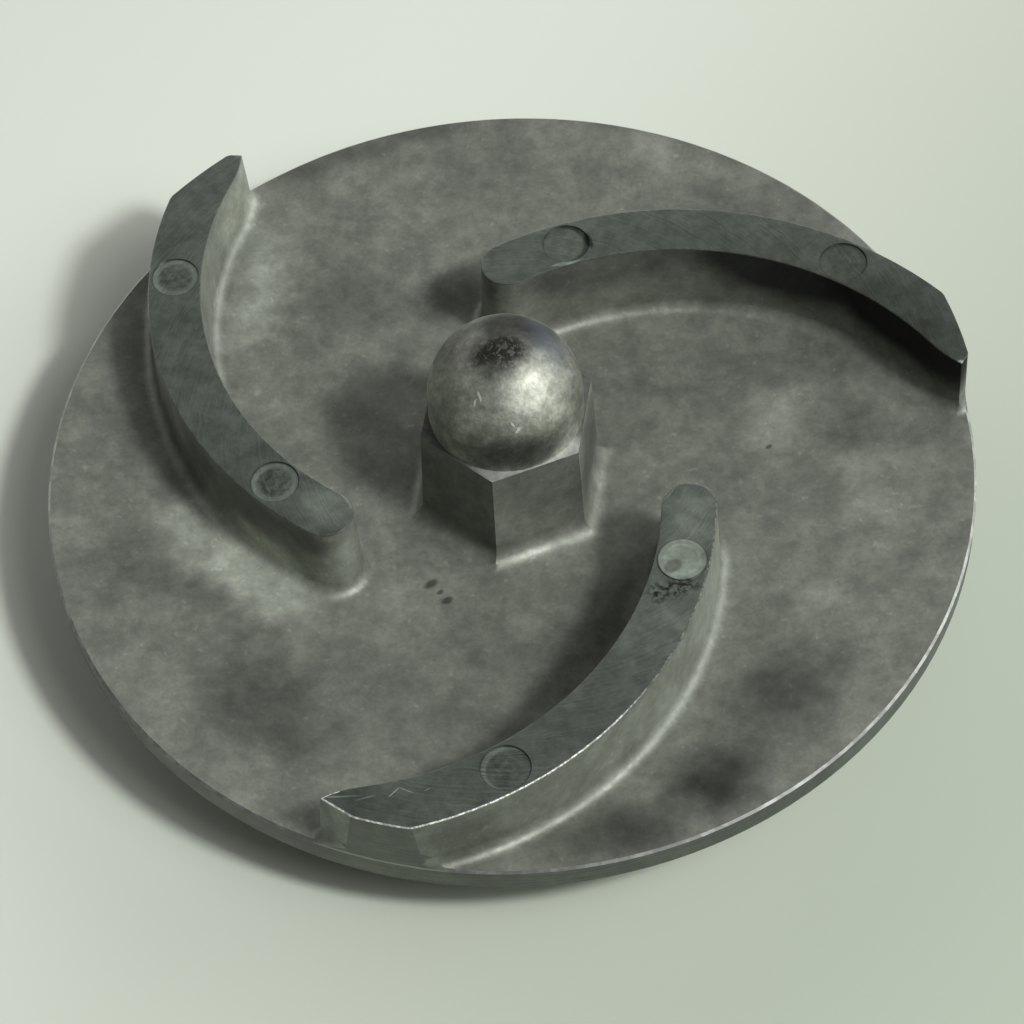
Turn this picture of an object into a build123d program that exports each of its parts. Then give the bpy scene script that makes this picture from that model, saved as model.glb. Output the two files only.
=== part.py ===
"""Pump impeller: one aluminium casting with curved blades, a hexagonal hub and a domed end.

Frame: the origin is the centre of the rear boss's end face, where the impeller seats
on its shaft shoulder. +Z points along the shaft, towards the dome and the inlet.
All sizes are in millimetres, and all angles in degrees.
"""

import os
from math import atan2, cos, degrees, radians, sin, sqrt, tan

from build123d import *

# Disc
rim_radius = 56.0
rim_thickness = 3.5
rim_back_height = 9.0  # rear face of the rim, above the boss's end face
dish_depth = 3.5  # how far the front face falls from the rim to the shaft's axis
back_fall = 4.5  # how far the conical back face falls over the same distance
rim_arris = 0.3
turning_stock = 8.0  # metal outside the rim before it is turned

# Blades
blade_count = 3
blade_height = 8.5  # machined tops, above the front face at the rim
blade_width = 6.45
blade_arc_radius = 42.2  # middle of the blade
blade_arc_centre_radius = 23.5  # from the shaft's axis
blade_arc_centre_angle = -156.2
blade_nose_angle = -5.4  # seen from the arc's centre
blade_draft = 2.5
blade_foot_height = 9.25  # the stock ends here, inside the disc from nose to tip
blade_base_fillet = 1.6
blade_inner_limit = 16.0  # every blade stays outside this radius, and the hub inside it
tip_corner_radius = 54.85  # inner corner of the blunt tip, from the shaft's axis
tip_corner_angle = -115.5
tip_arc_end_angle = -86.5  # where the concave side straightens, seen from the arc's centre
tip_rim_angles = (-111.0, -114.2, -114.2)  # where each trimmed tip meets the rim

# Ejector pin marks on the blade tops
pin_mark_radius = 2.9
inner_pin_place = (28.46, -48.0)  # radius and angle from the shaft's axis
outer_pin_place = (47.37, -93.5)
pin_mark_steps = ((0.12, -0.2), (-0.25, -0.2), (-0.2, -0.15))  # inner and outer mark of each blade

# Hub
hex_across_flats = 18.75  # at the top
hex_draft = 2.0
hex_height = 11.7  # above the front face at the rim
hex_corner_angle = -161.9  # one corner, from +X
hex_base_fillet = 2.3
hub_burial = 2.0  # the hub's stock ends this far inside the disc
dome_radius = 9.2
dome_centre_height = 14.9  # above the front face at the rim

# Rear boss and its blind threaded hole
boss_radius = 13.5
boss_draft = 1.5
boss_base_fillet = 2.5
boss_arris = 0.6
thread_major_radius = 6.0
thread_drill_radius = 5.1
thread_length = 20.0
drill_depth = 23.0
hole_mouth_chamfer = 0.8
drill_point_angle = 118.0

front_height = rim_back_height + rim_thickness
blade_top_height = front_height + blade_height
hex_top_height = front_height + hex_height
dome_centre = front_height + dome_centre_height
stock_radius = rim_radius + turning_stock
dish_sphere_radius = (rim_radius**2 + dish_depth**2) / (2 * dish_depth)


def place(radius, angle, centre=(0.0, 0.0)):
    """A point in plan, from its radius and angle about a centre."""
    return centre[0] + radius * cos(radians(angle)), centre[1] + radius * sin(radians(angle))


def front_face_height(radius):
    """Height of the dished front face, which is part of a large sphere."""
    lowest = front_height - dish_depth
    return lowest + dish_sphere_radius - sqrt(dish_sphere_radius**2 - radius**2)


def back_face_height(radius):
    """Height of the conical back face, which keeps the disc's wall from 3.0 to 3.6 mm thick."""
    return rim_back_height - back_fall * (1 - radius / rim_radius)


def disc_stock():
    """The disc and its rear boss before turning, as one turned section."""
    middle = stock_radius / 2
    boss_height = back_face_height(boss_radius)
    boss_foot_radius = boss_radius + boss_height * tan(radians(boss_draft))
    boss_foot = (boss_foot_radius, back_face_height(boss_foot_radius))
    with BuildSketch(Plane.XZ) as section:
        with BuildLine():
            ThreePointArc(
                (0, front_face_height(0)),
                (middle, front_face_height(middle)),
                (stock_radius, front_face_height(stock_radius)),
            )
            Line((stock_radius, front_face_height(stock_radius)), (stock_radius, back_face_height(stock_radius)))
            Line((stock_radius, back_face_height(stock_radius)), boss_foot)
            Line(boss_foot, (boss_radius, 0))
            Line((boss_radius, 0), (0, 0))
            Line((0, 0), (0, front_face_height(0)))
        make_face()
        fillet(section.vertices().sort_by_distance(boss_foot)[0], boss_base_fillet)
        chamfer(section.vertices().sort_by_distance((boss_radius, 0))[0], boss_arris)
    return revolve(section.sketch, Axis.Z)


def blade_stock(tip_rim_angle):
    """A blade before turning: an arc of even width, round at the nose and cut off at the tip."""
    centre = place(blade_arc_centre_radius, blade_arc_centre_angle)
    convex = blade_arc_radius + blade_width / 2
    concave = blade_arc_radius - blade_width / 2
    tip_corner = place(tip_corner_radius, tip_corner_angle)
    tip_rim = place(rim_radius, tip_rim_angle)
    # The cut through the tip's two corners, carried on to the convex side.
    cut_x = tip_rim[0] - tip_corner[0]
    cut_y = tip_rim[1] - tip_corner[1]
    from_centre_x = tip_corner[0] - centre[0]
    from_centre_y = tip_corner[1] - centre[1]
    a = cut_x**2 + cut_y**2
    b = 2 * (from_centre_x * cut_x + from_centre_y * cut_y)
    c = from_centre_x**2 + from_centre_y**2 - convex**2
    reach = (-b + sqrt(b**2 - 4 * a * c)) / (2 * a)
    outer_corner = (tip_corner[0] + reach * cut_x, tip_corner[1] + reach * cut_y)
    outer_angle = degrees(atan2(outer_corner[1] - centre[1], outer_corner[0] - centre[0]))
    nose_centre = place(blade_arc_radius, blade_nose_angle, centre)
    nose_tip = place(blade_width / 2, blade_nose_angle + 90, nose_centre)
    convex_start = place(convex, blade_nose_angle, centre)
    concave_start = place(concave, blade_nose_angle, centre)
    concave_end = place(concave, tip_arc_end_angle, centre)
    with BuildSketch() as plan:
        with BuildLine():
            ThreePointArc(
                convex_start, place(convex, (blade_nose_angle + outer_angle) / 2, centre), outer_corner
            )
            Line(outer_corner, tip_corner)
            TangentArc(concave_end, tip_corner, tangent=place(1.0, tip_arc_end_angle - 90))
            ThreePointArc(
                concave_end,
                place(concave, (blade_nose_angle + tip_arc_end_angle) / 2, centre),
                concave_start,
            )
            ThreePointArc(concave_start, nose_tip, convex_start)
        make_face()
    top_plan = plan.sketch.moved(Location((0, 0, blade_top_height)))
    depth = blade_top_height - blade_foot_height
    return extrude(top_plan, amount=depth, dir=(0, 0, -1), taper=-blade_draft)


def hexagon_hub(foot_height):
    """The spanner hexagon, with draft, widening down into the disc."""
    corner_radius = hex_across_flats / sqrt(3)
    with BuildSketch(Plane.XY.offset(hex_top_height)) as plan:
        RegularPolygon(radius=corner_radius, side_count=6, rotation=hex_corner_angle)
    return extrude(plan.sketch, amount=hex_top_height - foot_height, dir=(0, 0, -1), taper=-hex_draft)


def dome():
    """The round end: a short cylinder under a hemisphere."""
    with BuildSketch(Plane.XZ) as section:
        with BuildLine():
            Line((0, hex_top_height - 1), (dome_radius, hex_top_height - 1))
            Line((dome_radius, hex_top_height - 1), (dome_radius, dome_centre))
            ThreePointArc(
                (dome_radius, dome_centre),
                (dome_radius * cos(radians(45)), dome_centre + dome_radius * sin(radians(45))),
                (0, dome_centre + dome_radius),
            )
            Line((0, dome_centre + dome_radius), (0, hex_top_height - 1))
        make_face()
    return revolve(section.sketch, Axis.Z)


def threaded_hole():
    """The blind hole at its thread's major diameter, with a chamfered mouth and a drill point."""
    mouth_radius = thread_major_radius + hole_mouth_chamfer
    point_height = drill_depth + thread_drill_radius / tan(radians(drill_point_angle / 2))
    with BuildSketch(Plane.XZ) as section:
        with BuildLine():
            Polyline(
                (0, 0),
                (mouth_radius, 0),
                (thread_major_radius, hole_mouth_chamfer),
                (thread_major_radius, thread_length),
                (thread_drill_radius, thread_length),
                (thread_drill_radius, drill_depth),
                (0, point_height),
                close=True,
            )
        make_face()
    return revolve(section.sketch, Axis.Z)


def pin_mark(radius_and_angle, step):
    """A pin mark as a short cylinder that stands on the blade's top, or sinks into it."""
    x, y = place(*radius_and_angle)
    height = abs(step)
    base = blade_top_height if step > 0 else blade_top_height - height
    return Solid.make_cylinder(pin_mark_radius, height, Plane((x, y, base)))


def middle_radius(edge):
    """Distance of an edge's middle from the shaft's axis."""
    middle = edge.position_at(0.5)
    return sqrt(middle.X**2 + middle.Y**2)


def base_edges(solid, smallest_radius, largest_radius):
    """The edges where walls stand on the dished front face, between two radii."""
    found = []
    for edge in solid.edges():
        radius = middle_radius(edge)
        on_face = abs(edge.position_at(0.5).Z - front_face_height(radius)) < 0.05
        if on_face and edge.geom_type != GeomType.CIRCLE and smallest_radius < radius < largest_radius:
            found.append(edge)
    return found


def turned_edges(solid, height):
    """The edges round the turned rim at one height."""
    found = []
    for edge in solid.edges():
        level = abs(edge.position_at(0.5).Z - height) < 0.02
        if level and edge.length > 0.5 and abs(middle_radius(edge) - rim_radius) < 0.02:
            found.append(edge)
    return found


# Blades and hub are cast on the disc, with their base fillets.
casting = disc_stock()
for number, tip_rim_angle in enumerate(tip_rim_angles):
    turn = number * 360 / blade_count
    casting += blade_stock(tip_rim_angle).rotate(Axis.Z, turn)
casting = fillet(base_edges(casting, blade_inner_limit, stock_radius - 1), blade_base_fillet)
casting += hexagon_hub(front_height - dish_depth - hub_burial)
casting = fillet(base_edges(casting, 0, blade_inner_limit), hex_base_fillet)
casting += dome()

# The ejector pins leave marks on the blades' tops.
for number, steps in enumerate(pin_mark_steps):
    turn = number * 360 / blade_count
    for mark_place, step in zip((inner_pin_place, outer_pin_place), steps):
        mark = pin_mark(mark_place, step).rotate(Axis.Z, turn)
        if step > 0:
            casting += mark
        else:
            casting -= mark

# Turning the rim cuts the blades' tips flush with the disc and leaves a small arris.
casting &= Cylinder(rim_radius, 4 * rim_radius)
casting = chamfer(turned_edges(casting, front_height), rim_arris)
casting = chamfer(turned_edges(casting, rim_back_height), rim_arris)
casting -= threaded_hole()

os.makedirs("parts", exist_ok=True)
export_step(casting, "parts/impeller.step")
print("impeller", casting.is_valid, round(casting.volume), casting.bounding_box().size)
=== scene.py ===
"""Pump impeller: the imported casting, with the marks of the die, the lathe and handling."""

import math

import bmesh
import bpy
import numpy as np
from mathutils import Matrix, Vector


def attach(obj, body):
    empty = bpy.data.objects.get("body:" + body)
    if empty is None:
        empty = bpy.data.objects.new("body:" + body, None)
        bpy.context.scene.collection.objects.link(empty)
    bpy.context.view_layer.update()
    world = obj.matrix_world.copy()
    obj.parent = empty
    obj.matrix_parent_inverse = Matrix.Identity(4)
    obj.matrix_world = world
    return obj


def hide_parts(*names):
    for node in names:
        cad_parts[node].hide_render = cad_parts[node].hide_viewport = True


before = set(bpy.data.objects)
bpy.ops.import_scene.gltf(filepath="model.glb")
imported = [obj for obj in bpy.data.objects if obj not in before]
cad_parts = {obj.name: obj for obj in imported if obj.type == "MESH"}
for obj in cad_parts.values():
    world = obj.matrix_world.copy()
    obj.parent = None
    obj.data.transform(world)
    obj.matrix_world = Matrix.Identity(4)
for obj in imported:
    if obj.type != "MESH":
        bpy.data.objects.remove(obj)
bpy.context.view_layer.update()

# ---------------------------------------------------------------------------------------------
# The casting. One piece of die-cast aluminium, dull and clouded where it is as cast. The blades'
# tops are faced on a lathe, the rim is turned, and handling has rubbed the dome and the edges bare.
# The end face of its boss, at height 0, seats on the shaft's shoulder.
# Some of its tones are painted light and shade: shadows beside two blades, shade on two blades' walls, the
# pin marks' steps, a line on the arris and a patch of the dome's highlight.
# ---------------------------------------------------------------------------------------------
MM = 0.001  # lengths are in millimetres, and angles in degrees
RIM_RADIUS = 56.0
RIM_TOP = 12.5  # height of the front face at the rim
RIM_ARRIS = 0.3
BLADE_TOP = RIM_TOP + 8.5
BLADE_TURNS = (0.0, 120.0, 240.0)  # front, right and left blade
BLADE_INNER_LIMIT = 16.0  # the blades lie outside this radius, and the hub inside it
BLADE_WIDTH = 6.45
BLADE_CONCAVE_RADIUS = 42.2 - BLADE_WIDTH / 2
BLADE_ARC_CENTRE = (23.5, -156.2)  # radius and angle of the front blade's arc centre
BLADE_NOSE_Y = -10.0  # the front blade lies below this
PIN_RADIUS = 2.9
INNER_PIN = (28.46, -48.0)  # radius and angle of the front blade's ejector pin marks
OUTER_PIN = (47.37, -93.5)
HEX_TOP = RIM_TOP + 11.7
DOME_RADIUS = 9.2
DOME_CENTRE = RIM_TOP + 14.9
BOSS_ARRIS = 0.6
BORE_REACH = 6.9  # the hole and its mouth lie inside this radius


def turned_place(radius, angle, turn=0.0, height=0.0):
    """A point from its radius and angle about the shaft's axis, turned on with its blade."""
    total = math.radians(angle + turn)
    return radius * math.cos(total), radius * math.sin(total), height


def linear(hex_colour):
    """An sRGB hex colour as linear red, green, blue and alpha."""
    channels = [int(hex_colour[i : i + 2], 16) / 255 for i in (1, 3, 5)]
    return [c / 12.92 if c <= 0.04045 else ((c + 0.055) / 1.055) ** 2.4 for c in channels] + [1.0]


def add_node(tree, kind, inputs=(), out=0, **settings):
    """Adds a node with its settings, fills or links its inputs by order or by key, and returns one output."""
    node = tree.nodes.new("ShaderNode" + kind)
    for name, value in settings.items():
        setattr(node, name, value)
    keyed = inputs if isinstance(inputs, dict) else dict(enumerate(inputs))
    for key, value in keyed.items():
        if isinstance(value, bpy.types.NodeSocket):
            tree.links.new(value, node.inputs[key])
        else:
            node.inputs[key].default_value = value
    return node.outputs[out] if node.outputs else None


# Settings that many nodes share.
SMOOTH = {"interpolation_type": "SMOOTHSTEP"}
COLOURS = {"data_type": "RGBA"}
TIMES = {"data_type": "RGBA", "blend_type": "MULTIPLY"}
NOISE_SPAN = (0.3, 0.7)  # nearly all of a noise's values lie between these


def blank_material(name):
    """An empty node material, with a position input in millimetres."""
    material = bpy.data.materials.new(name)
    material.use_nodes = True
    tree = material.node_tree
    tree.nodes.clear()
    place = add_node(tree, "TexCoord", out="Object")
    place_mm = add_node(tree, "VectorMath", {0: place, "Scale": 1 / MM}, operation="SCALE")
    return material, tree, place_mm


def finish_metal(tree, colour, metallic, roughness, height, depth, strength):
    """Ends a metal's nodes with its colour, its shine and the height of its grain."""
    bump = add_node(tree, "Bump", {"Height": height, "Strength": strength, "Distance": depth * MM})
    metal = {"Base Color": colour, "Metallic": metallic, "Roughness": roughness, "Normal": bump}
    add_node(tree, "OutputMaterial", {"Surface": add_node(tree, "BsdfPrincipled", metal)})


def ragged(tree, place_mm, size, reach):
    """Positions pushed about by noise, so that a patch drawn on them has an uneven outline."""
    push = add_node(tree, "TexNoise", {"Vector": place_mm, "Scale": 1 / size, "Detail": 3.0}, "Color")
    centred = add_node(tree, "VectorMath", (push, (0.5, 0.5, 0.5)), operation="SUBTRACT")
    return add_node(tree, "VectorMath", (centred, (2 * reach,) * 3, place_mm), operation="MULTIPLY_ADD")


def patch(tree, place_mm, centre, halves, turn=0.0, full=0.5, end=1.3):
    """1 inside an ellipsoid and 0 outside: it is full, and ends, at these shares of its half sizes."""
    local = add_node(tree, "Mapping", {"Vector": place_mm, "Location": centre, "Scale": halves,
                                       "Rotation": (0.0, 0.0, math.radians(turn))}, vector_type="TEXTURE")
    reach = add_node(tree, "VectorMath", (local,), "Value", operation="LENGTH")
    return add_node(tree, "MapRange", (reach, full, end, 1.0, 0.0), **SMOOTH)


def stained(tree, tone, mask, factor):
    """Multiplies a tone by a factor where the mask is 1."""
    change = add_node(tree, "Math", (mask, factor - 1.0, 1.0), operation="MULTIPLY_ADD")
    return add_node(tree, "Math", (tone, change), operation="MULTIPLY")


def clouded(tree, place_mm, layers):
    """A tone about 1 from layers of clouds, each with a size and a depth."""
    tone = 1.0
    for size, depth in layers:
        look = {"Vector": place_mm, "Scale": 1 / size, "Detail": 3.0, "Roughness": 0.6}
        cloud = add_node(tree, "TexNoise", look)
        layer = add_node(tree, "MapRange", (cloud, *NOISE_SPAN, 1 - depth, 1 + depth), **SMOOTH)
        tone = add_node(tree, "Math", (tone, layer), operation="MULTIPLY")
    return tone


# The skin as it left the die. Its clouds lie on the dished face, two of them painted shadow beside the
# blades:
# place, half length, half width, turn, and tone beside the plain skin.
CAST_GREY = "#7E8278"
CAST_DARK = "#72766C"
SKIN_TINT_SIZE = 22.0  # of the greyer and the darker parts
SKIN_SHEEN_SIZE = 3.0
SKIN_LAYERS = ((9.0, 0.15), (3.6, 0.14), (1.4, 0.09), (0.5, 0.07))  # sizes and depths of its clouds
SKIN_OUTLINE = (7.0, 2.6)  # size and reach of the noise that makes the clouds' outlines uneven
SKIN_SPECK = 1.0
SKIN_SPECK_TONE = 1.22
SKIN_GRAIN = 0.5
SKIN_ROUGHNESS = (0.54, 0.46)
RIGHT_WALL_SHADE_ROUGHENING = 0.3  # how much rougher the painted shade on the right blade's wall is
DISH_CLOUDS_AND_SHADOWS = (
    (20.1, -45.3, 7.0, 5.2, 10.0, 0.22),
    (30.0, -34.0, 11.0, 7.0, 45.0, 0.42),
    (9.0, -51.5, 9.5, 4.6, 8.0, 0.33),
    (40.5, 4.0, 6.0, 4.0, -35.0, 0.70),
    (34.0, 6.0, 6.0, 4.5, 20.0, 1.6),
    (-30.5, -31.0, 10.5, 7.5, -50.0, 0.46),
    (35.0, 36.0, 12.0, 5.0, -40.0, 0.78),
    (-19.5, 28.5, 8.0, 6.0, 30.0, 0.66),
    (-16.0, 52.5, 20.0, 3.0, 17.0, 0.55),
    (-45.5, -8.0, 5.0, 9.0, 0.0, 0.80),
    (-33.0, -9.5, 13.0, 5.5, -42.0, 2.7),
    (-30.0, 29.5, 10.0, 3.6, 70.0, 1.55),
    (46.5, -5.5, 8.0, 6.0, 0.0, 1.35),
    (12.0, 50.0, 9.0, 4.0, -8.0, 1.10),
    # painted shadow: deepens the front blade's shadow beside its concave side
    (7.5, -23.5, 11.0, 5.0, 55.0, 0.48),
    # painted shadow: deepens the shadow of the right blade's nose
    (-6.0, 28.0, 6.0, 4.0, 0.0, 0.42),
    (35.0, -25.0, 6.0, 4.0, 50.0, 1.18),
    (24.6, 47.5, 8.0, 3.0, -25.0, 1.25),
    (-20.0, -28.0, 6.0, 4.0, 0.0, 0.85),
)
# Cleaner and dirtier stretches of the blades' and the hexagon's walls, and painted shade high on the left
# blade's outer wall: place, half sizes, turn and tone.
WALL_CLOUDS_AND_SHADE = (
    (22.5, -21.0, 16.0, (10.0, 2.5, 5.0), 75.0, 1.45),
    (-31.0, 43.0, 17.0, (9.0, 2.5, 6.0), 60.0, 1.65),
    (-20.5, -13.5, 15.0, (4.0, 4.0, 6.0), 0.0, 1.35),
    # painted shade: high on the left blade's outer wall, which faces away from the lamp
    (-32.0, -6.0, 18.5, (16.0, 3.0, 3.5), -50.0, 0.55),
    (9.5, -1.9, 17.0, (3.0, 7.0, 7.0), -12.0, 0.45),
    (-6.3, -7.0, 17.0, (5.5, 2.5, 6.0), -41.9, 0.86),
    (6.0, 23.0, 17.0, (5.0, 3.0, 5.0), 15.0, 0.80),
    (-8.5, -53.5, 16.5, (7.0, 3.0, 5.5), 15.0, 0.60),
    (-23.0, -50.5, 17.0, (1.0, 3.0, 5.0), 0.0, 0.75),
)
# Painted shade under the right blade's top edge, where its wall faces away from the lamp: angle seen from its
# arc's centre, half length, half height and tone.
RIGHT_WALL_SHADE_OUTLINE = (5.0, 0.7)
RIGHT_WALL_SHADE = ((98.0, 16.0, 6.5, 0.55), (66.0, 15.0, 7.5, 0.10), (40.0, 17.0, 7.2, 0.05))
# Small pits with dark oxide: place and radius.
DISH_PITS = ((-10.5, -14.3, 0.7), (-8.6, -16.8, 0.6), (-9.4, -15.6, 0.35), (31.5, 2.0, 0.4))
PIT_TONE = 0.35


def cast_skin():
    """Die-cast aluminium as cast and aged: a dull oxide that shades like stone, with a weak sheen, and with
    painted shade on two blades' walls and painted shadow beside two blades.
    """
    material, tree, place_mm = blank_material("aged_cast_aluminium")
    tone = clouded(tree, place_mm, SKIN_LAYERS)
    uneven = ragged(tree, place_mm, *SKIN_OUTLINE)
    for x, y, long, wide, turn, factor in DISH_CLOUDS_AND_SHADOWS:
        mask = patch(tree, uneven, (x, y, RIM_TOP - 1.5), (long, wide, 4.0), turn, full=0.25, end=1.35)
        tone = stained(tree, tone, mask, factor)
    for x, y, z, halves, turn, factor in WALL_CLOUDS_AND_SHADE:
        tone = stained(tree, tone, patch(tree, uneven, (x, y, z), halves, turn, full=0.4, end=1.3), factor)
    arc_x, arc_y, _ = turned_place(*BLADE_ARC_CENTRE, BLADE_TURNS[1])
    # painted shade high on the right blade's wall, which faces away from the lamp, made a little rougher too
    crisp = ragged(tree, place_mm, *RIGHT_WALL_SHADE_OUTLINE)
    wall_shade = 0.0
    for angle, long, high, factor in RIGHT_WALL_SHADE:
        x, y, _ = turned_place(BLADE_CONCAVE_RADIUS, angle)
        centre = (x + arc_x, y + arc_y, BLADE_TOP)
        mask = patch(tree, crisp, centre, (long, 3.0, high), angle - 90.0, full=0.6, end=1.2)
        tone = stained(tree, tone, mask, factor)
        wall_shade = add_node(tree, "Math", (wall_shade, mask), operation="MAXIMUM")
    for x, y, radius in DISH_PITS:
        mask = patch(tree, crisp, (x, y, RIM_TOP - 3.0), (radius, 0.7 * radius, 3.0), 20.0, full=0.6, end=1.6)
        tone = stained(tree, tone, mask, PIT_TONE)
    dots = add_node(tree, "TexNoise", {"Vector": place_mm, "Scale": 1 / SKIN_SPECK, "Detail": 1.0})
    specks = add_node(tree, "MapRange", (dots, 0.68, 0.78, 1.0, SKIN_SPECK_TONE), **SMOOTH)
    tone = add_node(tree, "Math", (tone, specks), operation="MULTIPLY")
    tint = add_node(tree, "TexNoise", {"Vector": place_mm, "Scale": 1 / SKIN_TINT_SIZE})
    colour = add_node(tree, "Mix", {0: tint, 6: linear(CAST_DARK), 7: linear(CAST_GREY)}, 2, **COLOURS)
    colour = add_node(tree, "Mix", {0: 1.0, 6: colour, 7: tone}, 2, **TIMES)
    sheen = add_node(tree, "TexNoise", {"Vector": place_mm, "Scale": 1 / SKIN_SHEEN_SIZE, "Detail": 3.0})
    roughness = add_node(tree, "MapRange", (sheen, *NOISE_SPAN, *SKIN_ROUGHNESS), **SMOOTH)
    roughness = add_node(tree, "Math", (wall_shade, RIGHT_WALL_SHADE_ROUGHENING, roughness), operation="MULTIPLY_ADD")
    look = {"Vector": place_mm, "Scale": 1 / SKIN_GRAIN, "Detail": 4.0, "Roughness": 0.7}
    grain = add_node(tree, "TexNoise", look)
    finish_metal(tree, colour, metallic=0.45, roughness=roughness, height=grain, depth=0.05, strength=0.5)
    return material


# The blades' faced tops, with their darker and lighter stretches, and their scratches and nicks: place, half
# length, half width, turn and tone.
FACED_GREY = "#757C73"
FACED_DARK = "#60685F"
OIL_BROWN = "#302F2A"
FACING_PITCH = 0.3  # drawn coarser than the real tool lines, so that they show
FACING_DEPTH = 0.14  # how far the lines lighten and darken the top
FACED_FADE_SIZE = 2.5  # of the stretches where the lines fade
FACED_FADE = 0.25  # the share of its depth that a line keeps there
FACED_OUTLINE = (2.0, 0.5)
FACED_ROUGHNESS = (0.48, 0.36)
FACED_LAYERS = ((5.0, 0.14), (1.2, 0.14))  # sizes and depths of its clouds
OIL_SPECK = 0.8
PIN_MOTTLE = 0.7
PIN_MOTTLE_TONES = (0.35, 1.3)
PIN_LINE = 0.12  # width of the dark line round a pin mark
PIN_LINE_TONE = 0.6
PIN_STEP_SHADING_WIDTH = 0.55  # width of the crescent of painted light and shade on a mark's step
TOP_CLOUDS = (
    (20.5, -15.0, 4.0, 5.0, 0.0, 1.65),
    (16.0, -28.0, 8.0, 7.0, 50.0, 1.35),
    (48.5, 12.0, 13.0, 7.0, -55.0, 0.55),
    (34.0, 24.0, 9.0, 5.0, -20.0, 0.85),
    (5.0, 26.5, 6.0, 4.0, 15.0, 1.15),
    (-19.5, -51.0, 6.0, 3.0, 0.0, 0.75),
    (-21.5, -10.0, 3.8, 3.0, -30.0, 1.8),
)
TOP_MARKS = (
    (-15.4, -49.45, 0.85, 0.07, 43.0, 3.2),
    (-14.0, -49.3, 0.9, 0.06, -28.0, 2.4),
    (-11.7, -49.4, 0.4, 0.06, 22.0, 2.6),
    (-21.5, -49.5, 2.4, 0.12, -2.0, 2.4),
    (-18.6, -49.9, 1.2, 0.08, 12.0, 2.2),
    (11.6, 27.3, 0.45, 1.3, 15.0, 0.30),
    (8.6, 24.0, 2.0, 0.3, 12.0, 2.2),
    (54.6, 4.3, 0.6, 0.5, 0.0, 4.0),
    (17.9, -22.0, 1.2, 0.9, 30.0, 0.55),
)
# Burnt oil beside the front blade's inner pin mark: place, half length, half width and turn.
OIL_STAINS = ((18.0, -25.0, 3.4, 1.3, 8.0), (15.9, -25.6, 1.4, 1.6, 0.0), (19.2, -24.4, 1.0, 0.6, 20.0))
# Each pin mark: its blade's turn, its place, the tones of its face and of the ring round it, how far it is
# mottled, how deep its tool lines show, and a crescent on one side that paints the light or the shade of the
# mark's small step, with its angle and tone.
PIN_MARKS = (
    (0.0, INNER_PIN, 2.3, 2.2, 0.15, 0.3, (60.0, 0.9)),
    (0.0, OUTER_PIN, 0.85, 0.9, 0.3, 2.6, (150.0, 1.9)),
    (120.0, INNER_PIN, 1.1, 1.1, 0.2, 1.0, (0.0, 0.45)),
    (120.0, OUTER_PIN, 1.05, 1.05, 0.2, 1.0, (0.0, 0.9)),
    (240.0, INNER_PIN, 0.92, 1.5, 0.5, 1.0, (150.0, 1.2)),
    (240.0, OUTER_PIN, 0.98, 1.45, 0.4, 1.0, (150.0, 1.2)),
)


def pin_mark_tone(tree, flat, tone, mottled, centre, looks):
    """A pin mark's tone: a dark line round a ring, a mottled face inside it, and a crescent on one side that
    paints the light or the shade of the mark's small step.
    """
    face_tone, ring_tone, mottling, (side, step_shading_tone) = looks
    inside = patch(tree, flat, centre, (PIN_RADIUS,) * 3, full=0.93, end=1.0)
    core = patch(tree, flat, centre, (PIN_RADIUS,) * 3, full=0.62, end=0.80)
    # painted light and shade of the mark's small step: a crescent, lighter or darker, on one side
    beyond_x, beyond_y, _ = turned_place(PIN_STEP_SHADING_WIDTH, side + 180.0)
    shifted = (centre[0] + beyond_x, centre[1] + beyond_y, 0.0)
    covered = patch(tree, flat, shifted, (PIN_RADIUS,) * 3, full=0.85, end=1.0)
    step_shading = add_node(tree, "Math", (inside, covered), operation="SUBTRACT")
    step_shading = add_node(tree, "Math", (step_shading, 0.0), operation="MAXIMUM")
    outside = patch(tree, flat, centre, (PIN_RADIUS + PIN_LINE,) * 3, full=0.94, end=1.0)
    tone = stained(tree, tone, add_node(tree, "Math", (outside, inside), operation="SUBTRACT"), PIN_LINE_TONE)
    spots = add_node(tree, "Math", (mottled, 1.0), operation="SUBTRACT")
    spots = add_node(tree, "Math", (spots, mottling, 1.0), operation="MULTIPLY_ADD")
    spots = add_node(tree, "Math", (spots, face_tone), operation="MULTIPLY")
    face = add_node(tree, "Mix", {0: core, 2: 1.0, 3: spots})
    tone = add_node(tree, "Math", (tone, face), operation="MULTIPLY")
    tone = stained(tree, tone, add_node(tree, "Math", (inside, core), operation="SUBTRACT"), ring_tone)
    return stained(tree, tone, step_shading, step_shading_tone), inside


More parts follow.
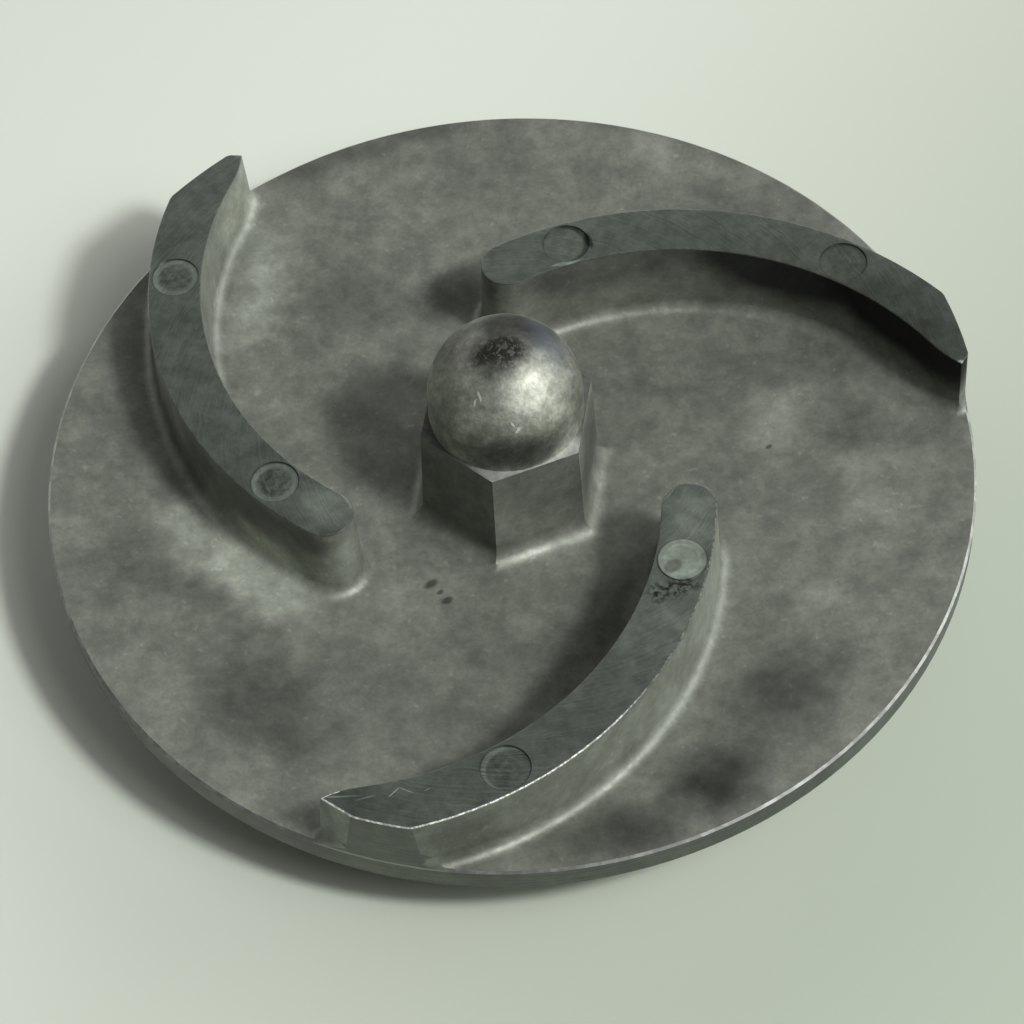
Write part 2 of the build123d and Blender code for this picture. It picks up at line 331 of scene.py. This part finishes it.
def faced_top():
    """Aluminium faced on a lathe: darkened metal, fine rings about the shaft, and six ejector pin marks."""
    material, tree, place_mm = blank_material("lathe_faced_aluminium")
    flat = add_node(tree, "VectorMath", (place_mm, (1.0, 1.0, 0.0)), operation="MULTIPLY")
    uneven = ragged(tree, flat, *FACED_OUTLINE)
    radius = add_node(tree, "VectorMath", (uneven,), "Value", operation="LENGTH")
    rings = add_node(tree, "TexNoise", {"W": radius, "Scale": 1 / FACING_PITCH, "Detail": 3.0},
                     noise_dimensions="1D")
    fade = add_node(tree, "TexNoise", {"Vector": flat, "Scale": 1 / FACED_FADE_SIZE, "Detail": 3.0})
    depth = add_node(tree, "MapRange", (fade, 0.35, 0.65, FACED_FADE, 1.0), **SMOOTH)
    tone = clouded(tree, place_mm, FACED_LAYERS)
    for x, y, long, wide, turn, factor in TOP_CLOUDS:
        mask = patch(tree, uneven, (x, y, 0.0), (long, wide, 1.0), turn, full=0.3, end=1.3)
        tone = stained(tree, tone, mask, factor)
    mottled = add_node(tree, "TexNoise", {"Vector": flat, "Scale": 1 / PIN_MOTTLE, "Detail": 3.0})
    mottled = add_node(tree, "MapRange", (mottled, 0.35, 0.65, *PIN_MOTTLE_TONES), **SMOOTH)
    for turn, pin_place, face_tone, ring_tone, mottling, grooves, step_shading in PIN_MARKS:
        looks = (face_tone, ring_tone, mottling, step_shading)
        tone, inside = pin_mark_tone(tree, flat, tone, mottled, turned_place(*pin_place, turn), looks)
        depth = stained(tree, depth, inside, grooves)
    lines = add_node(tree, "MapRange", (rings, *NOISE_SPAN, -FACING_DEPTH, FACING_DEPTH), **SMOOTH)
    lines = add_node(tree, "Math", (lines, depth), operation="MULTIPLY")
    lines = add_node(tree, "Math", (lines, 1.0), operation="ADD")
    tone = add_node(tree, "Math", (tone, lines), operation="MULTIPLY")
    for x, y, long, wide, turn, factor in TOP_MARKS:
        mask = patch(tree, flat, (x, y, 0.0), (long, wide, 1.0), turn, full=0.7, end=1.2)
        tone = stained(tree, tone, mask, factor)
    colour = add_node(tree, "Mix", {0: fade, 6: linear(FACED_DARK), 7: linear(FACED_GREY)}, 2, **COLOURS)
    colour = add_node(tree, "Mix", {0: 1.0, 6: colour, 7: tone}, 2, **TIMES)
    dots = add_node(tree, "TexNoise", {"Vector": flat, "Scale": 1 / OIL_SPECK, "Detail": 3.0})
    dots = add_node(tree, "MapRange", (dots, 0.42, 0.58, 0.0, 1.0), **SMOOTH)
    oily = 0.0
    for x, y, long, wide, turn in OIL_STAINS:
        spread = patch(tree, uneven, (x, y, 0.0), (long, wide, 1.0), turn, full=0.2, end=1.4)
        spread = add_node(tree, "Math", (spread, dots), operation="MULTIPLY")
        oily = add_node(tree, "Math", (oily, spread), operation="MAXIMUM")
    colour = add_node(tree, "Mix", {0: oily, 6: colour, 7: linear(OIL_BROWN)}, 2, **COLOURS)
    roughness = add_node(tree, "MapRange", (fade, *NOISE_SPAN, *FACED_ROUGHNESS), **SMOOTH)
    finish_metal(tree, colour, metallic=0.8, roughness=roughness, height=rings, depth=0.03, strength=0.2)
    return material


# The turned rim, the boss's end and the hole.
TURNED_GREY = "#61645F"
TURNED_LAYERS = ((9.0, 0.12), (2.0, 0.10))  # sizes and depths of its clouds
TOOL_LINES = (0.15, 0.15, 6.0)  # lines to the millimetre across, across and along the axis
TOOL_LINE_TONES = (0.85, 1.15)
ARRIS_HIGHLIGHT_TONE = 2.3
ARRIS_HIGHLIGHT_HEIGHT = RIM_TOP - 0.1
ARRIS_HIGHLIGHT_SPREAD = (0.12, 0.22)  # it is full, and ends, this far above and below


def turned_metal():
    """Aluminium turned on a lathe: clean metal with faint tool lines, and a painted highlight: a bright line
    where the rim's arris runs on below the blades' cut tips."""
    material, tree, place_mm = blank_material("lathe_turned_aluminium")
    tone = clouded(tree, place_mm, TURNED_LAYERS)
    along = add_node(tree, "Mapping", {"Vector": place_mm, "Scale": TOOL_LINES})
    lines = add_node(tree, "TexNoise", {"Vector": along, "Scale": 1.0})
    streaks = add_node(tree, "MapRange", (lines, *NOISE_SPAN, *TOOL_LINE_TONES), **SMOOTH)
    tone = add_node(tree, "Math", (tone, streaks), operation="MULTIPLY")
    # painted highlight: a bright line where the rim's arris runs on below the blades' cut tips
    height = add_node(tree, "SeparateXYZ", (place_mm,), "Z")
    off_highlight = add_node(tree, "Math", (height, ARRIS_HIGHLIGHT_HEIGHT), operation="SUBTRACT")
    off_highlight = add_node(tree, "Math", (off_highlight,), operation="ABSOLUTE")
    on_highlight = add_node(tree, "MapRange", (off_highlight, *ARRIS_HIGHLIGHT_SPREAD, 1.0, 0.0), **SMOOTH)
    tone = stained(tree, tone, on_highlight, ARRIS_HIGHLIGHT_TONE)
    colour = add_node(tree, "Mix", {0: 1.0, 6: linear(TURNED_GREY), 7: tone}, 2, **TIMES)
    finish_metal(tree, colour, metallic=0.7, roughness=0.45, height=lines, depth=0.02, strength=0.3)
    return material


# The dome's rubbed skin, with its lighter and darker parts, one of them a painted highlight: azimuth, height
# angle from its centre, half sizes and tone.
DOME_GREY = "#9A9D92"
HAZE_BLUE = "#586070"
BARE_GREY = "#E6E6E0"
DOME_CLOUDS_AND_HIGHLIGHT = (
    (-110.0, 80.0, (4.4, 3.2, 2.4), 0.30),
    (-90.0, -2.0, (8.0, 4.0, 3.6), 0.34),
    (75.0, 62.0, (5.6, 4.6, 3.8), 0.14),
    (25.0, 50.0, (4.2, 5.0, 3.8), 0.42),
    (160.0, 45.0, (4.5, 5.5, 5.0), 0.45),
    (-5.0, 15.0, (2.2, 6.0, 6.0), 0.65),
    (-150.0, 20.0, (3.0, 4.0, 5.0), 0.75),
    # painted highlight: lightens the dome below the lamp's highlight, so that the highlight sits lower
    (-60.0, 30.0, (3.6, 3.6, 3.0), 1.35),
)
DOME_STAIN_PLACE = (-105.0, 85.0)
DOME_STAIN_HALVES = (3.2, 2.2, 1.8)
DOME_HAZE_PLACE = (20.0, 50.0)
DOME_HAZE_HALVES = (3.5, 5.0, 3.5)
DOME_HAZE_SHARE = 0.40
DOME_LAYERS = ((3.0, 0.22), (1.0, 0.16), (0.4, 0.12))  # sizes and depths of its clouds
DOME_PIT = 0.7
DOME_GRAIN = 0.45
DOME_SHEEN_SIZE = 1.6
DOME_ROUGHNESS = (0.64, 0.54)
DOME_OUTLINE = (2.2, 1.3)
DOME_SCRATCHES = ((-85.0, 28.0, -50.0), (-82.0, 23.0, 30.0), (-121.0, 42.0, 60.0), (-118.0, 47.0, 100.0))
SCRATCH_HALVES = (0.75, 0.12, 0.5)
SCRATCH_OUTLINE = (0.7, 0.3)


def dome_place(azimuth, height):
    """A point on the dome, from its azimuth and its height angle, measured from the dome's centre."""
    x, y, _ = turned_place(DOME_RADIUS * math.cos(math.radians(height)), azimuth)
    return x, y, DOME_RADIUS * math.sin(math.radians(height))


def rubbed_dome():
    """Cast aluminium rubbed by hands and tools: a soft shine, a pitted dark stain on top, a bluish haze, a
    few bright scratches, and a patch of painted highlight below the lamp's highlight."""
    material, tree, place_mm = blank_material("hand_rubbed_aluminium")
    centred = add_node(tree, "VectorMath", (place_mm, (0.0, 0.0, DOME_CENTRE)), operation="SUBTRACT")
    uneven = ragged(tree, centred, *DOME_OUTLINE)
    tone = clouded(tree, place_mm, DOME_LAYERS)
    for azimuth, height, halves, factor in DOME_CLOUDS_AND_HIGHLIGHT:
        mask = patch(tree, uneven, dome_place(azimuth, height), halves, full=0.3, end=1.3)
        tone = stained(tree, tone, mask, factor)
    colour = add_node(tree, "Mix", {0: 1.0, 6: linear(DOME_GREY), 7: tone}, 2, **TIMES)
    look = {"Vector": centred, "Scale": 1 / DOME_PIT, "Detail": 3.0, "Roughness": 0.7}
    pits = add_node(tree, "TexNoise", look)
    pits = add_node(tree, "MapRange", (pits, 0.38, 0.50, 0.0, 1.0), **SMOOTH)
    crown = patch(tree, uneven, dome_place(*DOME_STAIN_PLACE), DOME_STAIN_HALVES, full=0.5, end=1.4)
    pitted = add_node(tree, "Math", (crown, pits), operation="MULTIPLY")
    colour = add_node(tree, "Mix", {0: pitted, 6: colour, 7: linear(OIL_BROWN)}, 2, **COLOURS)
    haze = patch(tree, centred, dome_place(*DOME_HAZE_PLACE), DOME_HAZE_HALVES, full=0.2, end=1.3)
    haze = add_node(tree, "Math", (haze, DOME_HAZE_SHARE), operation="MULTIPLY")
    colour = add_node(tree, "Mix", {0: haze, 6: colour, 7: linear(HAZE_BLUE)}, 2, **COLOURS)
    crooked = ragged(tree, centred, *SCRATCH_OUTLINE)
    scratches = 0.0
    for azimuth, height, turn in DOME_SCRATCHES:
        line = patch(tree, crooked, dome_place(azimuth, height), SCRATCH_HALVES, turn, full=0.5, end=1.3)
        scratches = add_node(tree, "Math", (scratches, line), operation="MAXIMUM")
    colour = add_node(tree, "Mix", {0: scratches, 6: colour, 7: linear(BARE_GREY)}, 2, **COLOURS)
    look = {"Vector": centred, "Scale": 1 / DOME_GRAIN, "Detail": 4.0, "Roughness": 0.7}
    grain = add_node(tree, "TexNoise", look)
    grain = add_node(tree, "Math", (grain, pitted), operation="SUBTRACT")
    sheen = add_node(tree, "TexNoise", {"Vector": centred, "Scale": 1 / DOME_SHEEN_SIZE, "Detail": 3.0})
    roughness = add_node(tree, "MapRange", (sheen, *NOISE_SPAN, *DOME_ROUGHNESS), **SMOOTH)
    finish_metal(tree, colour, metallic=0.85, roughness=roughness, height=grain, depth=0.06, strength=0.6)
    return material


# The worn edges. Two of them are brightest in one stretch only, given by its place and half sizes.
RUBBED_GREY = "#A9ABA6"
ARRIS_GREY = "#9C9F9A"
WORN_EDGE = ((-6.0, -50.0, BLADE_TOP), (22.0, 18.0, 5.0))  # where the front blade's edge is knocked most
WORN_SHELF = ((3.5, -9.0, HEX_TOP), (8.0, 5.0, 3.0))  # where the hexagon's top is rubbed brightest
UNWORN_SHARE = 0.3  # of the brightness outside that stretch


def bare_edge(name, grey, nick_size, metallic, dullest, brightest, worn=None):
    """Edges knocked or rubbed to bare metal, with nicks that glint between dull stretches."""
    material, tree, place_mm = blank_material(name)
    look = {"Vector": place_mm, "Scale": 1 / nick_size, "Detail": 3.0, "Roughness": 0.7}
    nicks = add_node(tree, "TexNoise", look)
    tone = add_node(tree, "MapRange", (nicks, 0.42, 0.62, dullest, brightest), **SMOOTH)
    if worn:
        share = patch(tree, place_mm, *worn, full=0.7, end=1.2)
        share = add_node(tree, "MapRange", (share, 0.0, 1.0, UNWORN_SHARE, 1.0), **SMOOTH)
        tone = add_node(tree, "Math", (tone, share), operation="MULTIPLY")
    colour = add_node(tree, "Mix", {0: 1.0, 6: linear(grey), 7: tone}, 2, **TIMES)
    finish_metal(tree, colour, metallic, roughness=0.38, height=nicks, depth=0.05, strength=0.8)
    return material


# The mesh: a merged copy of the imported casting, with the blades' top edges rubbed round.
EDGE_BREAK = 0.16  # the blades' top edges are rubbed down by this much
EDGE_STEPS = 2
EDGE_ANGLE = 60.0  # a top edge's faces meet at more than this
SHARP_ANGLE = 30.0  # facets that meet at less than this are one smooth surface
PIN_STEP_LIMIT = 0.3  # pin marks stand proud of the blade's top, or sink into it, by less than this
SLACK = 0.05  # how far beside its nominal place a facet or an edge may lie

mesh = bpy.data.meshes.new("casting")
merged = bmesh.new()
merged.from_mesh(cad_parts["impeller"].data)
bmesh.ops.remove_doubles(merged, verts=merged.verts, dist=0.001 * MM)
pin_centres = [turned_place(*pin_place, turn)[:2] for turn, pin_place, *_ in PIN_MARKS]
top_edges = []
for edge in merged.edges:
    level = all(abs(vertex.co.z / MM - BLADE_TOP) < 0.01 for vertex in edge.verts)
    middle = (edge.verts[0].co + edge.verts[1].co) / (2 * MM)
    round_a_pin = min(math.dist(middle[:2], pin_centre) for pin_centre in pin_centres) < PIN_RADIUS + SLACK
    folded = edge.is_manifold and edge.calc_face_angle(0.0) > math.radians(EDGE_ANGLE)
    if level and folded and not round_a_pin:
        top_edges.append(edge)
bmesh.ops.bevel(merged, geom=top_edges, offset=EDGE_BREAK * MM, offset_type="OFFSET", segments=EDGE_STEPS,
                profile=0.5, affect="EDGES", clamp_overlap=False)
for face in merged.faces:
    face.smooth = True
for edge in merged.edges:
    edge.smooth = edge.is_manifold and edge.calc_face_angle(0.0) < math.radians(SHARP_ANGLE)
merged.to_mesh(mesh)
merged.free()

# Each facet gets the first finish whose place it lies in, and the cast skin where none fits.
centres = np.empty(len(mesh.polygons) * 3)
normals = np.empty(len(mesh.polygons) * 3)
mesh.polygons.foreach_get("center", centres)
mesh.polygons.foreach_get("normal", normals)
x, y, heights = centres.reshape(-1, 3).T / MM
radii = np.hypot(x, y)
lean = np.abs(normals[2::3])  # 1 where level, 0 where upright
at_blade_top = (np.abs(heights - BLADE_TOP) < PIN_STEP_LIMIT) & (radii > BLADE_INNER_LIMIT)
arc_x, arc_y, _ = turned_place(*BLADE_ARC_CENTRE)
from_arc = np.hypot(x - arc_x, y - arc_y) - BLADE_CONCAVE_RADIUS
on_outer_side = (from_arc > 0.4) & (from_arc < 15.0) & (y < BLADE_NOSE_Y)  # of the front blade
at_rim = radii > RIM_RADIUS - RIM_ARRIS - SLACK
on_arris = np.abs(heights - RIM_TOP + RIM_ARRIS / 2) < 0.16
at_boss_end = heights < BOSS_ARRIS + SLACK
in_bore = (radii < BORE_REACH) & (heights < DOME_CENTRE)
on_dome = (heights > HEX_TOP + SLACK) & (radii < DOME_RADIUS + 0.2)
on_shelf = (np.abs(heights - HEX_TOP) < SLACK) & (lean > 0.9)
turned_finish = turned_metal()
finishes = (
    (bare_edge("knocked_bare_aluminium", BARE_GREY, nick_size=0.5, metallic=0.7, dullest=0.55,
               brightest=1.35, worn=WORN_EDGE),
     at_blade_top & on_outer_side & (lean > 0.2) & (lean < 0.97)),
    (faced_top(), at_blade_top),
    (bare_edge("turned_arris_aluminium", ARRIS_GREY, nick_size=3.0, metallic=0.7, dullest=0.7,
               brightest=1.1),
     at_rim & on_arris & (lean > 0.2) & (lean < 0.9)),
    (turned_finish, (at_rim & (lean < 0.2)) | in_bore | at_boss_end),
    (rubbed_dome(), on_dome),
    (bare_edge("rubbed_cast_aluminium", RUBBED_GREY, nick_size=2.0, metallic=0.4, dullest=0.8,
               brightest=1.1, worn=WORN_SHELF), on_shelf),
    (cast_skin(), np.full(len(heights), True)),
)
for finish, _ in finishes:
    mesh.materials.append(finish)
slots = np.select([where for _, where in finishes], list(range(len(finishes))))
mesh.polygons.foreach_set("material_index", slots.astype(np.int32))

casting = bpy.data.objects.new("casting", mesh)
bpy.context.scene.collection.objects.link(casting)
even = casting.modifiers.new("even_normals", "WEIGHTED_NORMAL")
even.keep_sharp = True
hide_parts("impeller")
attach(casting, "root")

# ---------------------------------------------------------------------------------------------
# The shaft's thread, tapped in the boss's blind hole: one ridge that winds up from the mouth and
# fades out at both ends, cut in the same metal as the casting.
# ---------------------------------------------------------------------------------------------
THREAD_MAJOR_RADIUS = 6.0
THREAD_MINOR_RADIUS = 5.1
THREAD_PITCH = 1.75
THREAD_START = 1.2
THREAD_END = 19.4
THREAD_STEPS = 48  # to a turn
THREAD_PROFILE = np.array([(-0.60, 0.0), (-0.11, 1.0), (0.11, 1.0), (0.60, 0.0)])  # place, and share of depth
THREAD_ROOT = 0.03  # the ridge's foot lies this deep in the hole's wall
RUNOUT_WIDTH = 0.2  # the ridge narrows to this share where it fades out


def thread_ridge():
    """A ridge on a helix: its height rises one pitch a turn, and its radius is the wall's less the profile's
    share of the thread's depth, which fades to nothing over half a turn at each end."""
    turns = (THREAD_END - THREAD_START) / THREAD_PITCH
    angle = np.linspace(0.0, 2 * np.pi * turns, int(turns * THREAD_STEPS))[:, None]
    along, share = THREAD_PROFILE.T[:, None, :]
    fade = np.clip(np.minimum(angle, angle[-1] - angle) / np.pi, 0.0, 1.0)
    depth = (THREAD_MAJOR_RADIUS - THREAD_MINOR_RADIUS) * share * fade - THREAD_ROOT
    radius = THREAD_MAJOR_RADIUS - depth
    width = RUNOUT_WIDTH + (1 - RUNOUT_WIDTH) * fade
    height = THREAD_START + THREAD_PITCH * angle / (2 * np.pi) + along * width
    return np.stack([radius * np.cos(angle), radius * np.sin(angle), height], axis=-1) * MM


def grid_mesh(name, points):
    """A mesh of quads over a grid of points."""
    rows, columns = points.shape[:2]
    index = np.arange(rows * columns).reshape(rows, columns)
    quads = np.stack([index[:-1, :-1], index[:-1, 1:], index[1:, 1:], index[1:, :-1]], axis=-1).reshape(-1, 4)
    grid = bpy.data.meshes.new(name)
    grid.from_pydata(points.reshape(-1, 3).tolist(), [], quads.tolist())
    return grid


thread_mesh = grid_mesh("shaft_thread", thread_ridge())
thread_mesh.materials.append(turned_finish)
thread = bpy.data.objects.new("shaft_thread", thread_mesh)
bpy.context.scene.collection.objects.link(thread)
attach(thread, "root")

# ---------------------------------------------------------------------------------------------
# The floor: a pale grey-green sheet, larger than the view, that takes the impeller's shadow. It
# darkens slowly from the back left to the front right.
# ---------------------------------------------------------------------------------------------
FLOOR_HALF = 1500.0
FLOOR_LIGHT = "#D8DDD1"
FLOOR_DARK = "#ABB4A5"
FLOOR_SLOPE = (0.8, -0.6, 0.0)  # the way in which it darkens
FLOOR_SLOPE_START = -70.0
FLOOR_SLOPE_END = 80.0

material, tree, place_mm = blank_material("floor_sheet")
across = add_node(tree, "VectorMath", (place_mm, FLOOR_SLOPE), "Value", operation="DOT_PRODUCT")
share = add_node(tree, "MapRange", (across, FLOOR_SLOPE_START, FLOOR_SLOPE_END, 0.0, 1.0), **SMOOTH)
colour = add_node(tree, "Mix", {0: share, 6: linear(FLOOR_LIGHT), 7: linear(FLOOR_DARK)}, 2, **COLOURS)
add_node(tree, "OutputMaterial", {"Surface": add_node(tree, "BsdfDiffuse", {"Color": colour})})

floor_mesh = bpy.data.meshes.new("floor")
corners = np.array([(-1, -1, 0), (1, -1, 0), (1, 1, 0), (-1, 1, 0)]) * FLOOR_HALF * MM
floor_mesh.from_pydata(corners.tolist(), [], [(0, 1, 2, 3)])
floor_mesh.materials.append(material)
floor = bpy.data.objects.new("floor", floor_mesh)
bpy.context.scene.collection.objects.link(floor)

# ---------------------------------------------------------------------------------------------
# Light: one soft lamp high on the front right with a glow round it, and a dim room whose low soft
# windows, at the right and behind, light the blades' walls. Beyond the floor the room looks pale.
# ---------------------------------------------------------------------------------------------
LAMP_AZIMUTH = -34.6
LAMP_ELEVATION = 52.0
LAMP_DISTANCE = 1000.0
LAMP_SIZES = ((140.0, 0.65), (560.0, 0.35))  # the lamp and the glow round it: size and share of the light
LAMP_LEVEL = 0.79  # a white sheet flat under the lamp alone shows at this level
ROOM_AT_HORIZON = 0.02
ROOM_OVERHEAD = 0.14
BACKGROUND_LEVEL = 0.7  # what the camera sees beyond the floor
BACKGROUND_TOP = 0.06  # metal shows that background only up to this height above the horizon
# Soft windows: azimuth, elevation, the angles from there where each is full and where it ends, and its level.
WINDOWS = (
    (-22.0, 20.0, 8.0, 24.0, 0.7),
    (8.0, 22.0, 6.0, 18.0, 4.0),
    (32.0, 16.0, 6.0, 18.0, 3.5),
    (80.0, 15.0, 8.0, 28.0, 1.6),
    (130.0, 17.0, 8.0, 30.0, 1.4),
)


def toward(azimuth, elevation):
    """A direction from its azimuth and elevation."""
    x, y, _ = turned_place(math.cos(math.radians(elevation)), azimuth)
    return Vector((x, y, math.sin(math.radians(elevation))))


lamp_direction = toward(LAMP_AZIMUTH, LAMP_ELEVATION)
lamp_power = LAMP_LEVEL * (math.pi * LAMP_DISTANCE * MM) ** 2 / lamp_direction.z
for lamp_size, lamp_share in LAMP_SIZES:
    lamp_data = bpy.data.lights.new("soft_lamp", "AREA")
    lamp_data.shape = "DISK"
    lamp_data.size = lamp_size * MM
    lamp_data.energy = lamp_share * lamp_power
    lamp = bpy.data.objects.new("soft_lamp", lamp_data)
    lamp.location = lamp_direction * LAMP_DISTANCE * MM
    lamp.rotation_euler = lamp_direction.to_track_quat("Z", "Y").to_euler()
    bpy.context.scene.collection.objects.link(lamp)

world = bpy.data.worlds.new("room")
world.use_nodes = True
room = world.node_tree
room.nodes.clear()
direction = add_node(room, "TexCoord", out="Generated")
height = add_node(room, "SeparateXYZ", (direction,), "Z")
level = add_node(room, "MapRange", (height, 0.0, 1.0, ROOM_AT_HORIZON, ROOM_OVERHEAD))
for azimuth, elevation, full, end, window_level in WINDOWS:
    aim = toward(azimuth, elevation)
    cosine = add_node(room, "VectorMath", (direction, aim), "Value", operation="DOT_PRODUCT")
    full_cosine = math.cos(math.radians(full))
    end_cosine = math.cos(math.radians(end))
    window = add_node(room, "MapRange", (cosine, end_cosine, full_cosine, 0.0, window_level), **SMOOTH)
    level = add_node(room, "Math", (level, window), operation="ADD")
in_camera = add_node(room, "LightPath", out="Is Camera Ray")
in_metal = add_node(room, "LightPath", out="Is Glossy Ray")
in_glass = add_node(room, "LightPath", out="Is Transmission Ray")
mirrored = add_node(room, "Math", (in_metal, in_glass), operation="MAXIMUM")
low_down = add_node(room, "MapRange", (height, 0.0, BACKGROUND_TOP, 1.0, 0.0), **SMOOTH)
mirrored = add_node(room, "Math", (mirrored, low_down), operation="MULTIPLY")
seen = add_node(room, "Math", (in_camera, mirrored), operation="MAXIMUM")
level = add_node(room, "Mix", {0: seen, 2: level, 3: BACKGROUND_LEVEL})
glow = add_node(room, "Background", {"Color": linear("#FFFFFF"), "Strength": level})
add_node(room, "OutputWorld", {"Surface": glow})
bpy.context.scene.world = world

# ---------------------------------------------------------------------------------------------
# Camera: a long lens that looks down on the dished face from the front.
# ---------------------------------------------------------------------------------------------
IMAGE_WIDTH = 1024
SENSOR_WIDTH = 36.0
FOCAL_PIXELS = 3504.67
CAMERA_DISTANCE = 423.34
CAMERA_ELEVATION = 54.105
CAMERA_ROLL = -4.058
CAMERA_PITCH = 0.7475
CAMERA_YAW = 0.025

camera_data = bpy.data.cameras.new("camera")
camera_data.sensor_width = SENSOR_WIDTH
camera_data.lens = FOCAL_PIXELS / IMAGE_WIDTH * SENSOR_WIDTH
camera = bpy.data.objects.new("camera", camera_data)
stand = (toward(-90.0, CAMERA_ELEVATION) * CAMERA_DISTANCE + Vector((0.0, 0.0, RIM_TOP))) * MM
tilt = Matrix.Rotation(math.radians(90.0 - CAMERA_ELEVATION), 4, "X")
yaw = Matrix.Rotation(math.radians(CAMERA_YAW), 4, "Y")
pitch = Matrix.Rotation(math.radians(-CAMERA_PITCH), 4, "X")
roll = Matrix.Rotation(math.radians(CAMERA_ROLL), 4, "Z")
camera.matrix_world = Matrix.Translation(stand) @ tilt @ yaw @ pitch @ roll
bpy.context.scene.collection.objects.link(camera)
bpy.context.scene.camera = camera

bpy.context.scene.view_settings.view_transform = "Standard"
